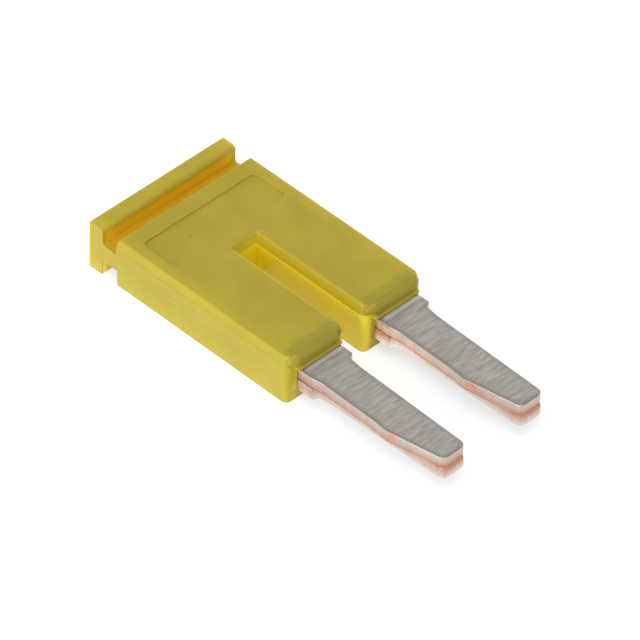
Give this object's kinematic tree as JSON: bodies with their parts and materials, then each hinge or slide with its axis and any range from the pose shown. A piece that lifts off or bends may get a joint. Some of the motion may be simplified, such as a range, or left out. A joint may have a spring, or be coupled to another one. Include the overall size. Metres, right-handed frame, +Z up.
{
  "type": "shorting bar",
  "caption": "Plug-in shorting bar: flat moulded housing with a slot, a grip head and stamped contact blades that bridge neighbouring terminal blocks.",
  "frame": {"origin": "middle of the footprint of the whole object, on the surface that the housing lies on", "axes": "+X along the blades towards their tips, +Y across the poles, +Z up from the flat underside"},
  "size_m": [0.023, 0.0092, 0.0029],
  "materials": {
    "housing_plastic": "fine-grained injection moulding, satin",
    "tinned_copper": "matt tin plate over copper, bare copper at the sheared edges"
  },
  "bodies": {
    "root": {"housing": "housing_plastic", "upper_contact_comb": "tinned_copper", "lower_contact_comb": "tinned_copper"}
  },
  "joints": []
}
